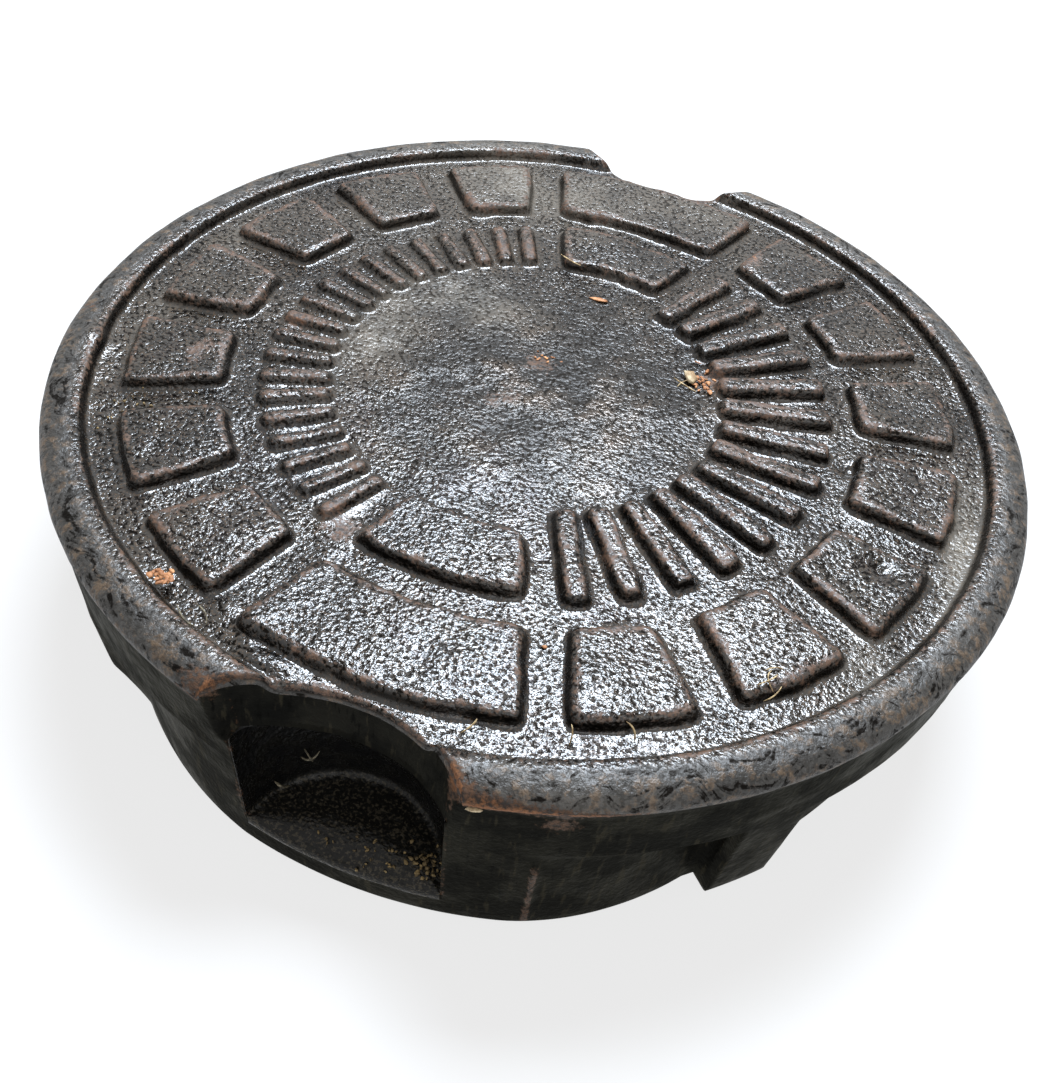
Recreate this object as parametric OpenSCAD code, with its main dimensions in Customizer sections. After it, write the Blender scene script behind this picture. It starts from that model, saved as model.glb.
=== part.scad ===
// Round cast iron lid of a street valve box: a tread plate inside a raised rim, with a skirt
// below it that drops into the box, and two finger pockets opposite each other at the edge.
// The foot of the skirt is at height 0, and the pockets lie on the Y axis.

/* [Rim] */
// Diameter over the lower edge of the rim
rim_d = 229; // [215:1:250]
// Height of the rim above the ledge under it
rim_h = 5; // [4:0.5:8]
// Width of the rounded outer shoulder of the rim
rim_shoulder = 5.5; // [4:0.5:7]
// Width of the flat on top of the rim
rim_flat = 3.4; // [2:0.2:5]
// Height of the rim's edge below the rounded shoulder
rim_edge_h = 1.2; // [0.6:0.2:2]
// How far that edge leans in on its way down
rim_edge_lean = 0.3; // [0.1:0.1:0.6]
// How far the rim stands out beyond the skirt
ledge = 0.7; // [0.4:0.1:3]

/* [Skirt] */
// Height of the skirt from its foot to the ledge
skirt_h = 49; // [42:1:60]
// Radius that the full-round faces lose from the ledge to the foot
skirt_taper = 2.8; // [1:0.2:5]
// Height of the full-round band under the ledge
band_h = 17; // [12:1:24]
// Depth of the relieved faces below the band, at the foot
recess = 6.5; // [3:0.5:8]
// Thickness of the relieved wall at the foot
wall_t = 8; // [6:0.5:12]
// Radius of the fillet between the plate and the skirt, inside
fillet_r = 6; // [3:1:10]
// Radius on the outer and inner edges of the foot
foot_round = 1.5; // [0.5:0.5:2.5]
// Width of each upright lug on the relieved faces
lug_w = 14.5; // [8:0.5:20]
// How far the lugs lean in from the full-round faces at the foot
lug_lean = 1.8; // [0:0.2:3]
// Angle from the pocket's axis to each lug beside it
lug_angle = 45; // [42:1:60]
// Angle from the pocket's axis to where the boss's flat flank meets the relieved wall
flank_angle = 42; // [36:0.5:45]

/* [Plate] */
// Thickness of the plate under the tread
plate_t = 10.5; // [8:0.5:14]
// Height of the pads and long bars above the plate
relief = 3; // [2:0.5:4]
// How far each raised wall leans back over its height
draft = 0.9; // [0.4:0.1:1.5]

/* [Tread pads] */
// Outer radius of the ring of pads
pad_out_r = 97; // [92:0.5:99]
// Inner radius of the ring of pads
pad_in_r = 75.5; // [72:0.5:82]
// Small pads on each side, between the two large ones
small_pads = 7; // [5:1:9]
// Width of the gaps between the pads, at their tops
pad_gap = 10; // [6:0.5:13]
// Outer radius of the two inner arc pads
arc_out_r = 66.5; // [60:0.5:69]
// Inner radius of the two inner arc pads
arc_in_r = 50.5; // [44:0.5:55]

/* [Tread bars] */
// Long bars on one side
long_bars = 14; // [8:1:16]
// Width of a long bar at its top
long_bar_w = 4.2; // [2:0.2:5]
// Inner radius of the long bars
long_bar_in_r = 42.5; // [40:0.5:50]
// Outer radius of the long bars
long_bar_out_r = 67.5; // [60:0.5:70]
// Short bars on the other side
short_bars = 20; // [8:1:22]
// Width of a short bar at its top
short_bar_w = 2.6; // [1.6:0.2:4]
// Height of the short bars above the plate
short_bar_h = 2; // [1:0.5:3]
// Inner radius of the short bars
short_bar_in_r = 51.5; // [48:0.5:56]
// Outer radius of the short bars
short_bar_out_r = 66.5; // [60:0.5:70]
// Angle that each row of bars spans
bar_span = 130; // [100:1:134]

/* [Finger pockets] */
// Radius of the half-round pocket behind the skirt's face
pocket_r = 22; // [16:0.5:25]
// Depth of the pocket from the skirt's face at the foot
pocket_depth = 20.5; // [15:0.5:22]
// Height of the pocket's floor above the foot
pocket_floor = 10; // [6:0.5:16]
// Thickness of the wall behind the pocket
pocket_wall = 7; // [5:0.5:10]
// Radius of the arched notch through the rim and plate, at its lower edge
notch_r = 31; // [24:0.5:34]
// Depth of the notch from the edge of the rim, at its lower edge
notch_depth = 13; // [11:0.5:14]
// How far the wall of the notch leans back over the plate's thickness
notch_draft = 1.4; // [0:0.2:2]

/* [Hidden] */
$fn = 180;

// Heights, from the foot up
ledge_z = skirt_h;
rim_top_z = skirt_h + rim_h;
plate_top_z = rim_top_z - relief;
plate_under_z = plate_top_z - plate_t;
band_foot_z = skirt_h - band_h;

// Radii of the rim, the skirt and the hollow under the plate
rim_r = rim_d / 2;
rim_in_r = rim_r - rim_shoulder - rim_flat;
skirt_top_r = rim_r - ledge;
foot_r = skirt_top_r - skirt_taper;
relieved_r = foot_r - recess;
hollow_r = relieved_r - wall_t;
band_foot_r = face_r(band_foot_z);

// Places of the pockets and notches along the Y axis
pocket_y = foot_r - pocket_depth + pocket_r;
notch_y = rim_r - notch_depth + notch_r;

// Angles of the tread
pad_step = 180 / (small_pads + 2);
long_step = bar_span / (long_bars - 1);
short_step = bar_span / (short_bars - 1);

// How far a raised piece or a cut runs on past the face that it meets
root = 1;
// How far a gap or a bar is drawn past the ring that it is cut from
overrun = 3 * draft;
// Beyond every outer face
clear_r = rim_r + notch_r;

iron = [0.2, 0.19, 0.18];

// Radius of the full-round faces at a height
function face_r(z) = foot_r + skirt_taper * z / skirt_h;

// Quarter turn of points from angle a to angle b about a centre
function arc(cx, cz, rx, rz, a, b, n = 6) =
    [for (i = [0:n]) let (t = a + (b - a) * i / n) [cx + rx * cos(t), cz + rz * sin(t)]];

// Section of the plate, the rim and the full-round band, solid to the axis
module crown_section() {
    shoulder_z = ledge_z + rim_edge_h;
    shoulder_h = rim_h - rim_edge_h;
    polygon(concat(
        [[0, band_foot_z], [band_foot_r, band_foot_z], [skirt_top_r, ledge_z]],
        [[rim_r - rim_edge_lean, ledge_z]],
        arc(rim_r - rim_shoulder, shoulder_z, rim_shoulder, shoulder_h, 0, 90),
        [[rim_in_r, rim_top_z], [rim_in_r - draft, plate_top_z], [0, plate_top_z]]
    ));
}

// Section of a skirt with a rounded foot, solid to the axis, up into the band
module skirt_section(foot, top, top_z) {
    polygon(concat(
        [[0, 0]],
        arc(foot - foot_round, foot_round, foot_round, foot_round, -90, 0, 3),
        [[top, top_z], [0, top_z]]
    ));
}

// Section of the hollow, with the fillet up to the plate and a rounded foot
module hollow_section() {
    polygon(concat(
        [[0, -root], [hollow_r + foot_round, -root], [hollow_r + foot_round, 0]],
        arc(hollow_r + foot_round, foot_round, foot_round, foot_round, 270, 180, 3),
        arc(hollow_r - fillet_r, plate_under_z - fillet_r, fillet_r, fillet_r, 0, 90),
        [[0, plate_under_z]]
    ));
}

// Turns its children to both pockets
module at_pockets() {
    for (a = [0, 180]) rotate(a) children();
}

// Four-sided outline from the centre, whose two outer sides touch a circle at -angle and angle
module kite(radius, angle) {
    touch = [radius * sin(angle), -radius * cos(angle)];
    polygon([[0, 0], touch, [0, -radius / cos(angle)], [-touch.x, touch.y]]);
}

// Part of the skirt below the band, over an outline, with its own radius at the foot
module lower_face(foot) {
    top_z = band_foot_z + root;
    intersection() {
        rotate_extrude() skirt_section(foot, face_r(top_z), top_z);
        linear_extrude(top_z) children();
    }
}

// Bosses with flat flanks that bring the full-round face down round the pockets
module bosses() {
    lower_face(foot_r) at_pockets() kite(relieved_r, flank_angle);
}

// Upright lugs on the relieved faces, flush with the band at their tops
module lugs() {
    lug_root_r = relieved_r - wall_t / 2;
    lower_face(foot_r - lug_lean) at_pockets() for (side = [-1, 1]) rotate(side * lug_angle)
        translate([-lug_w / 2, -clear_r]) square([lug_w, clear_r - lug_root_r]);
}

// Ring of raised tread with leaning walls, from the inner to the outer radius at its top
module raised_ring(inner, outer, height) {
    foot_lean = draft * (height + root) / height;
    rotate_extrude() polygon([
        [inner - foot_lean, plate_top_z - root], [outer + foot_lean, plate_top_z - root],
        [outer, plate_top_z + height], [inner, plate_top_z + height]
    ]);
}

// Straight radial prism, sunk by the root, with its half widths at the plate and a height above it
module radial_prism(half_at_plate, half_at_height, height, from, to) {
    slope = (half_at_height - half_at_plate) / height;
    top = height + root;
    translate([from, 0, plate_top_z]) rotate([90, 0, 90]) linear_extrude(to - from) polygon([
        [-half_at_plate + slope * root, -root], [half_at_plate - slope * root, -root],
        [half_at_plate + slope * top, top], [-half_at_plate - slope * top, top]
    ]);
}

// Ring of pads and the two inner arcs, parted by gaps that run straight outwards
module pads() {
    difference() {
        union() {
            raised_ring(pad_in_r, pad_out_r, relief);
            intersection() {
                raised_ring(arc_in_r, arc_out_r, relief);
                at_pockets() linear_extrude(rim_top_z + root) kite(clear_r, pad_step);
            }
        }
        at_pockets() for (i = [1:small_pads + 1]) rotate(i * pad_step - 90) radial_prism(
            pad_gap / 2 - draft, pad_gap / 2, relief, arc_in_r - overrun, pad_out_r + overrun
        );
    }
}

// Row of radial bars in the band between the arc pads, centred on an angle
module bar_row(centre, count, step, width, height, from, to) {
    intersection() {
        raised_ring(from, to, height);
        for (i = [0:count - 1]) rotate(centre + (i - (count - 1) / 2) * step)
            radial_prism(width / 2 + draft, width / 2, height, from - overrun, to + overrun);
    }
}

module long_bar_row() {
    bar_row(0, long_bars, long_step, long_bar_w, relief, long_bar_in_r, long_bar_out_r);
}

module short_bar_row() {
    bar_row(180, short_bars, short_step, short_bar_w, short_bar_h, short_bar_in_r, short_bar_out_r);
}

// Half-round pocket, open at the skirt's face, and the arched notch above it
module finger_pocket() {
    lean = notch_draft / plate_t;
    cut_h = plate_t + rim_h;
    translate([0, -pocket_y, pocket_floor]) cylinder(h = plate_under_z - pocket_floor, r = pocket_r);
    translate([0, -notch_y, plate_under_z - root])
        cylinder(h = cut_h + root, r1 = notch_r - lean * root, r2 = notch_r + lean * cut_h);
}

module lid_casting() {
    color(iron) {
        difference() {
            union() {
                rotate_extrude() crown_section();
                rotate_extrude() skirt_section(relieved_r, relieved_r, band_foot_z + root);
                bosses();
                lugs();
                pads();
                long_bar_row();
                short_bar_row();
            }
            difference() {
                rotate_extrude() hollow_section();
                at_pockets() translate([0, -pocket_y, -2 * root])
                    cylinder(h = rim_top_z, r = pocket_r + pocket_wall);
            }
            at_pockets() finger_pocket();
        }
    }
}

lid_casting();
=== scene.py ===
# %% [markdown]
# The cast iron lid of a street valve box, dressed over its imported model.
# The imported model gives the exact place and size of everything, so it is loaded first and kept as
# a fixed frame. All lengths below are in millimetres until a mesh is made, because castings are
# drawn in millimetres, and one factor turns them into Blender's metres.

# %% Load the frame
import bpy
import numpy as np
from mathutils import Matrix, Vector


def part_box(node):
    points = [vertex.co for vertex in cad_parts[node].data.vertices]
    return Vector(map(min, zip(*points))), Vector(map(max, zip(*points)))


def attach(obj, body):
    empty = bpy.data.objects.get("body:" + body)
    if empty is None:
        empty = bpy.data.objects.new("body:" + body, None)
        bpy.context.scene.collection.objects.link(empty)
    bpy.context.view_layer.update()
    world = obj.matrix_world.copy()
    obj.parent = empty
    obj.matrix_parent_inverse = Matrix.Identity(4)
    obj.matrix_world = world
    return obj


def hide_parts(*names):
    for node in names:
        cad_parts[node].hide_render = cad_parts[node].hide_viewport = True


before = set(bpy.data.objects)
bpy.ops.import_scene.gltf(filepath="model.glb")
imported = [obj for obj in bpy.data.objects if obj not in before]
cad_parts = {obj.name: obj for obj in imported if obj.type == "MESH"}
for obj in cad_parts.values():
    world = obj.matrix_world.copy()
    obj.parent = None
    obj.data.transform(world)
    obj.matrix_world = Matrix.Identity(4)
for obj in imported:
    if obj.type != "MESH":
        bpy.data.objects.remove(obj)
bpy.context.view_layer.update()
MM = 0.001
low, high = (np.array(corner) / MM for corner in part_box("lid_casting"))
print("lid box in mm:", low.round(1), high.round(1))

# %% [markdown]
# The photograph was taken from in front and above, a little to the right of the front finger
# pocket. A camera that was fitted to the circles of the lid gives the place, the three axes and
# the lens below. The lid is close to the camera, so its front is drawn much larger than its back.

# %% Camera
IMAGE = (1060, 1083)
FOCAL_PIXELS = 1196.4
EYE = Vector((0.05814, -0.21547, 0.23368))
FORWARD = Vector((-0.17521, 0.66385, -0.72705))
UP = Vector((-0.31716, 0.66105, 0.68002))


def make_camera():
    """A camera whose three axes are the right, up and backward directions of the fitted view."""
    data = bpy.data.cameras.new("camera")
    data.sensor_fit = "HORIZONTAL"
    data.sensor_width = 36.0
    data.lens = FOCAL_PIXELS / IMAGE[0] * data.sensor_width
    data.clip_start = 0.01
    camera = bpy.data.objects.new("camera", data)
    right = FORWARD.cross(UP).normalized()
    turn = Matrix((right, UP, -FORWARD)).transposed().to_4x4()
    camera.matrix_world = Matrix.Translation(EYE) @ turn
    bpy.context.scene.collection.objects.link(camera)
    bpy.context.scene.camera = camera
    return camera


camera = make_camera()
print("lens %.1f mm" % camera.data.lens)

# %% [markdown]
# The sizes of the casting. The two largest come from the frame's box, and the rest are the same
# named sizes that the solid model has: a tread of pads and bars in a raised rim, a skirt with a
# full-round band on top, bosses and lugs below, and two finger pockets on the Y axis. A name
# that ends in _R is a radius, one in _Z a height, and the four rows of the tread run from a
# first to a second radius.

# %% Sizes of the casting
RIM_R = (high[0] - low[0]) / 2
RIM_TOP = high[2]
LEDGE_Z = RIM_TOP - 5.0
PLATE_Z = RIM_TOP - 3.0
UNDER_Z = PLATE_Z - 10.5
BAND_Z = LEDGE_Z - 17.0
FACE_FOOT_R, FACE_TAPER = 111.0, 2.8
RELIEVED_R, HOLLOW_R, FOOT_ROUND, FILLET = 104.5, 96.5, 1.5, 6.0
RELIEF, SHORT_RELIEF = 3.0, 2.0
PAD_ROW, ARC_ROW, LONG_ROW, SHORT_ROW = (75.5, 97.0), (50.5, 66.5), (42.5, 67.5), (51.5, 66.5)
HALF_GAP, HALF_LONG, HALF_SHORT = 5.0, 2.1, 1.3
SECTOR, PAD_PITCH, LONG_PITCH, SHORT_PITCH = np.radians([40, 20, 10, 130 / 19])
LONG_BARS, SHORT_BARS = 14, 20
NOTCH_Y, NOTCH_R, NOTCH_DRAFT = 132.5, 31.0, 1.4
POCKET_Y, POCKET_R, POCKET_FLOOR, POCKET_WALL = 112.5, 22.0, 10.0, 7.0
POCKET_EDGE = np.radians(11.2)
LUG, LUG_FOOT_R = np.radians(45.0), 109.2
SHOULDER_Z, SHOULDER_IN_R, RIM_IN_R = LEDGE_Z + 1.2, RIM_R - 5.5, RIM_R - 8.9
print("rim radius %.1f, top of the rim %.1f" % (RIM_R, RIM_TOP))


# %% [markdown]
# The whole casting is one closed surface with two parameters. One runs along the section of the
# lid, from the middle of the tread out over the rim, down the skirt and back under the plate.
# The other runs round the lid. The lines that run outwards aren't straight: at each radius they
# gather along the walls of the pads or bars there, so a sharp wall needs no dense mesh.

# %% Lines that gather at walls
rad = np.radians
SMALL, BIG = 40, 84
GAP_KNOTS = np.array([0, 1.7, 3.0, 3.4, 3.75, 4.05, 4.3, 4.75, 5.1, 5.8])
LONG_KNOTS = np.array([0, 0.9, 1.6, 2.0, 2.35, 2.8, 3.05, 3.35, 3.7])
SHORT_KNOTS = np.array([0, 0.7, 1.2, 1.55, 2.0, 2.25, 2.55])


def rise(r, knots, half_count, half_span):
    """Angles from a centre line outwards: arcsin(knot / r) at each knot, then equal steps to half the span."""
    near = np.arcsin(knots / r)
    steps = np.linspace(0, 1, half_count - len(knots) + 2)[1:]
    return np.hstack([near, near[:, -1:] + (half_span - near[:, -1:]) * steps])


def across_pad(r, count, span):
    """Angles from the middle of one gap to just before the middle of the next."""
    half = rise(r, GAP_KNOTS, count // 2, span / 2)
    return np.hstack([half[:, :-1], span - half[:, :0:-1]])


def across_bar(r, knots, count, pitch):
    """Angles over one bar and half the space on both sides of it, about the bar's middle."""
    half = rise(r, knots, count // 2, pitch / 2)
    return np.hstack([-half[:, :0:-1], half[:, :-1]])


def four_parts(front, right, back, left):
    """All the lines in order from -110 degrees: the front sector, the right side, the back sector, the left."""
    return np.hstack([front + rad(-110), *right, back + rad(70), *left])


def even_lines(r):
    """Lines at equal angles inside each sector."""
    big = np.arange(BIG) / BIG * SECTOR + 0 * r
    side = np.arange(7 * SMALL) / SMALL * PAD_PITCH + 0 * r
    return four_parts(big, [side + rad(-70)], big, [side + rad(110)])


def pad_lines(r):
    """Lines that follow the gaps between the pads."""
    big, small = across_pad(r, BIG, SECTOR), across_pad(r, SMALL, PAD_PITCH)
    right, left = ([small + rad(start) + i * PAD_PITCH for i in range(7)] for start in (-70, 110))
    return four_parts(big, right, big, left)


def bar_lines(r):
    """Lines that follow the long bars, the short bars and the ends of the two inner arcs."""
    big = across_pad(r, BIG, SECTOR)
    long_bar = across_bar(r, LONG_KNOTS, 20, LONG_PITCH)
    short_bar = across_bar(r, SHORT_KNOTS, 14, SHORT_PITCH)
    right = [long_bar + (i - (LONG_BARS - 1) / 2) * LONG_PITCH for i in range(LONG_BARS)]
    left = np.hstack([short_bar + np.pi + (i - (SHORT_BARS - 1) / 2) * SHORT_PITCH for i in range(SHORT_BARS)])
    left[:, 0] = rad(110)
    return four_parts(big, right, big, [left])


print("lines round the lid:", pad_lines(np.array([[80.0]])).size)

# %% [markdown]
# Outside the tread the lines have other work to do. They gather at the ends of the notches, at
# the edges of the bosses and at the sides of the lugs. A quarter of the lid is written as a
# short list of line numbers and angles, and the other quarters mirror it.

# %% Lines of the skirt
QUARTER = 182
LINE_NUMBERS = [0, 12, 26, 28, 33, 38, 43, 50, 80, 82, 84, 86, 98, 100, 122, QUARTER]
LINE_ANGLES = rad([0, 7.2, 11.0, 11.2, 12.7, 14.4, 19.6, 22.6, 37.1, 37.6, 41.0, 41.2, 48.8, 49.0, 60, 90])


def skirt_lines():
    """Lines on the skirt: straight steps between the listed angles over a quarter, mirrored twice."""
    count = np.arange(QUARTER)
    quarter = np.interp(count, LINE_NUMBERS, LINE_ANGLES)
    mirrored = np.pi - np.interp(QUARTER - count, LINE_NUMBERS, LINE_ANGLES)
    turn = np.concatenate([quarter, mirrored, quarter + np.pi, mirrored + np.pi])
    lines = np.roll(turn, BIG // 2) + rad(-90)
    lines[:BIG // 2] -= 2 * np.pi
    return lines


SKIRT = skirt_lines()
COLUMNS = len(SKIRT)
FOLD = (SKIRT + np.pi) % np.pi - np.pi / 2
AWAY = np.abs(FOLD)
LEFT = np.cos(SKIRT) < 0
print("columns", COLUMNS, "from", np.degrees(SKIRT[0]).round(1), "to", np.degrees(SKIRT[-1]).round(1))

# %% [markdown]
# A smooth step does all the blending here. It joins the layouts of the lines from the middle of
# the lid outwards. The walls of the tread have a section of their own, read from a small table.

# %% Blend of the layouts
def ramp(x, a, b):
    """Smooth step, 3 t squared minus 2 t cubed, from 0 at a to 1 at b."""
    t = np.clip((x - a) / (b - a), 0, 1)
    return t * t * (3 - 2 * t)


def wall_share(inside):
    """Share of a wall's height over the distance inside its edge: fillet at the foot, lean, worn round edge."""
    return np.interp(inside, [-2.0, -1.6, -1.25, -0.95, -0.7, -0.25, 0.1, 0.4, 0.8, 1.3],
                     [0, 0.03, 0.09, 0.19, 0.36, 0.76, 0.92, 0.965, 0.99, 1])


def lines_at(r):
    """Angle of every line at each radius: even near the middle, then bars, then pads, then the skirt's."""
    r = r[:, None]
    angle = even_lines(r)
    angle = angle + (bar_lines(np.maximum(r, 43.5)) - angle) * ramp(r, 30, 40.5)
    angle = angle + (pad_lines(np.maximum(r, 60)) - angle) * ramp(r, 69.4, 73.5)
    return angle + (SKIRT - angle) * ramp(r, 99.0, 103.6)


# %% [markdown]
# Each finger pocket is two cuts. From above, a wide arched notch goes through the rim and the
# plate, and its wall leans back a little so that the pattern could be drawn out of the sand.
# Below the plate a narrower half-round pocket reaches further in, so there is an edge to lift by.
# Both are circles in plan, and a line from the lid's centre meets them at the radius below. The
# two halves of the mould didn't sit quite true: on the -X side the notches came out wider.

# %% Notch and pocket in plan
def circle_from_centre(angle, centre_r, radius):
    """Radius where a line at this angle from the axis first meets a circle centred on the axis, or 999."""
    inside = radius ** 2 - (centre_r * np.sin(angle)) ** 2
    return np.where(inside > 0, centre_r * np.cos(angle) - np.sqrt(np.maximum(inside, 0)), 999.0)


def notch_r(angle, z):
    """Radius of the notch's wall, whose circle grows with height by the draft."""
    return circle_from_centre(angle, NOTCH_Y, NOTCH_R + NOTCH_DRAFT * (z - UNDER_Z) / (PLATE_Z - UNDER_Z))


def rim_height(r):
    """Height of the channel and rim over the radius: flat channel, leaning wall, flat top, quarter ellipse."""
    wall = PLATE_Z + RELIEF * wall_share(r - RIM_IN_R)
    across = np.clip((r - SHOULDER_IN_R) / (RIM_R - SHOULDER_IN_R), 0, 1)
    return wall - (RIM_TOP - SHOULDER_Z) * (1 - np.sqrt(1 - across ** 2))


def notch_edge_r(angle):
    """Radius where the notch cuts the top surface, found by stepping between height and radius."""
    r = notch_r(angle, PLATE_Z)
    for _ in range(4):
        r = np.minimum(notch_r(angle, rim_height(r)), RIM_R)
    return r


WIDE_NOTCH = 0.9
CUT_ANGLE = AWAY * np.where(LEFT, WIDE_NOTCH, 1.0)
EDGE = notch_edge_r(CUT_ANGLE)
print("notch: deepest at radius %.1f, %d lines cross it" % (EDGE.min(), (EDGE < RIM_R - 0.01).sum()))

# %% [markdown]
# Sand gives way here and there, so nothing on a casting is quite straight or flat. A sum of sine
# waves in random directions stands for that. Its seed is fixed, so each run gives the same lid.

# %% Waves of the sand mould
random = np.random.default_rng(11)


def waves(points, length, count):
    """Sum of plane sine waves in random directions, each about one length long, scaled to a spread of 1."""
    directions = random.normal(size=(count, 3))
    directions *= 2 * np.pi / length / np.linalg.norm(directions, axis=1)[:, None]
    directions *= random.uniform(0.7, 1.4, count)[:, None]
    return np.sin(points @ directions.T + random.uniform(0, 2 * np.pi, count)).sum(axis=1) * np.sqrt(2 / count)


print("wave spread:", waves(random.uniform(-100, 100, (2000, 3)), 40, 24).std().round(2))

# %% [markdown]
# The tread is a height over the plan. Each pad or bar is a region with a signed distance to its
# edge, and the wall's section is read at that distance, so its top edge is as soft as a worn
# casting's. Rows of plain radial bars stand inside the ring of pads. NOWHERE is the distance
# that is given to a place where a region can't be.

# %% Heights of the tread
NOWHERE = -9.0


def region(row, half_space, r, corner=1.6):
    """Distance inside a region between two radii, with rounded corners where it meets the side walls."""
    across = np.minimum(r - row[0], row[1] - r)
    gap_a, gap_b = np.maximum(corner - across, 0), np.maximum(corner - half_space, 0)
    return np.where((gap_a > 0) & (gap_b > 0), corner - np.hypot(gap_a, gap_b), np.minimum(across, half_space))


def from_gap(angle, r):
    """Distance from the middle of the nearest gap, less the half gap. No gap runs through the big pads."""
    turn = (angle + rad(90) + np.pi / 2) % np.pi - np.pi / 2
    nearest = np.clip(np.round(np.abs(turn) / PAD_PITCH), 1, 8) * PAD_PITCH
    return np.abs(r * np.sin(np.abs(turn) - nearest)) - HALF_GAP


def to_bar(angle, r, centre, pitch, count, half_width):
    """Distance inside the nearest bar of a row, from its middle line."""
    turn = (angle - centre + np.pi) % (2 * np.pi) - np.pi
    place = np.clip(np.round(turn / pitch + (count - 1) / 2), 0, count - 1) - (count - 1) / 2
    return np.where(np.abs(turn) < 1.3, half_width - np.abs(r * np.sin(turn - place * pitch)), NOWHERE)


def tread(angle, r, wander=0.0):
    """Height above the plate and the distance inside the nearest raised edge, which wanders from its line."""
    fold = np.abs((angle + rad(90) + np.pi / 2) % np.pi - np.pi / 2)
    gap = from_gap(angle, r)
    pads = region(PAD_ROW, gap, r)
    arcs = region(ARC_ROW, np.where(fold < SECTOR / 2, gap, NOWHERE), r)
    long_bars = region(LONG_ROW, to_bar(angle, r, 0.0, LONG_PITCH, LONG_BARS, HALF_LONG), r, 1.0)
    short_bars = region(SHORT_ROW, to_bar(angle, r, np.pi, SHORT_PITCH, SHORT_BARS, HALF_SHORT), r, 0.8)
    tall, short_bars = np.maximum(np.maximum(pads, arcs), long_bars) + wander, short_bars + 0.7 * wander
    height = np.maximum(RELIEF * wall_share(tall), SHORT_RELIEF * wall_share(short_bars))
    return height, np.maximum(tall, short_bars)


samples = ((-60, 85), (-50, 85), (-5, 55), (180 + 3.42, 60))
print("pad, gap, long bar, short bar:", [round(float(tread(rad(a), r)[0]), 2) for a, r in samples])

# %% [markdown]
# Now the rings of the top, from the middle outwards. They stand close together where a pad, a
# bar or the rim begins and ends, and wide apart on flat ground. Beyond the pads the rings that
# cross a notch are drawn in, so that the last one always runs along the cut edge of the metal.

# %% Rings of the top
NOTCH_START = 99.0
MIDDLE = [2, 5, 9, 14, 19, 25, 31, 36.5]
BARS = [40.5, 41.1, 41.5, 41.8, 42.25, 42.6, 43.3, 44.5, 46.5, 48.5, 48.9, 49.25, 49.55, 49.8, 50.25, 50.6,
        51.25, 51.6, 52.3, 53.6, 55.6, 57.8, 60, 62.2, 64.2, 65.7, 66.4, 66.75, 67.2, 67.45, 67.75, 68.2,
        68.5, 69.1, 69.5]
PADS = [71.5, 73.5, 73.9, 74.25, 74.55, 74.8, 75.25, 75.6, 76.3, 78, 80.2, 82.4, 84.6, 86.8, 89, 91.2, 93.4,
        95.2, 96.2, 96.9, 97.25, 97.7, 97.95, 98.25, 98.6, NOTCH_START]
RIM = [100.2, 101.8, 103.6, 104, 104.35, 104.65, 104.9, 105.35, 105.7, 106.4, 107.6, 108.8]
SHOULDER = list(SHOULDER_IN_R + (RIM_R - SHOULDER_IN_R) * np.sin(rad(np.array([22, 40, 56, 70, 81, 90]))))
TOP_RINGS = np.array(MIDDLE + BARS + PADS + RIM + SHOULDER)
CUT_ROUND = 0.9


def top_surface():
    """Angle, radius and height of the top: height is the plate plus the tread inside, the rim's outside."""
    angle = lines_at(TOP_RINGS)
    r = np.repeat(TOP_RINGS[:, None], COLUMNS, axis=1)
    beyond = r > NOTCH_START
    r = np.where(beyond, NOTCH_START + (EDGE - NOTCH_START) * (r - NOTCH_START) / (RIM_R - NOTCH_START), r)
    plan = np.stack([r * np.cos(angle), r * np.sin(angle), 0 * r], axis=-1).reshape(-1, 3)
    wander = (0.15 * waves(plan, 9, 40) + 0.09 * waves(plan, 4, 40)).reshape(r.shape)
    raised, inside = tread(angle, r, wander)
    z = np.where(beyond, rim_height(r), PLATE_Z + raised)
    into_cut = np.clip((r - EDGE + CUT_ROUND) / CUT_ROUND, 0, 1) * ramp(RIM_R - EDGE, 0.0, 2.0)
    z = z - CUT_ROUND * (1 - np.sqrt(1 - into_cut ** 2))
    return angle, r, z, inside


top_angle, top_r, top_z, top_inside = top_surface()
print("rings on top:", len(TOP_RINGS), "height from %.1f to %.1f" % (top_z.min(), top_z.max()))

# %% [markdown]
# The skirt is a cone that narrows a little towards its foot, so that the lid drops into its box.
# Under the full-round band it is cut back, except at the bosses round the pockets and at four
# lugs. The bosses turn in along a soft curve, earlier at -X than at +X, and the lug at the left of
# the front was filled out where the mould tore. All of it is one radius over angle and height.

# %% Radius of the skirt
TURN_IN, TURN_END = np.where(LEFT, rad(12.0), rad(18.0)), rad(39.5)
TURN_POWER = np.where(LEFT, 1.3, 1.6)
LUG_HALF, LUG_EDGE = rad(4.0), rad(0.2)
BENT_LUG = LEFT & (np.sin(SKIRT) < 0) & (AWAY < LUG)
BENT_START, BENT_SPAN, BENT_OUT = rad(33.5), rad(8.0), 0.8


def face_r(z):
    """Radius of the full-round face, a straight line in height."""
    return FACE_FOOT_R + FACE_TAPER * z / LEDGE_Z


def in_between(first, last, share):
    """A radius, or a whole ring, a share of the way from one to another."""
    return first + (last - first) * share


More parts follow.
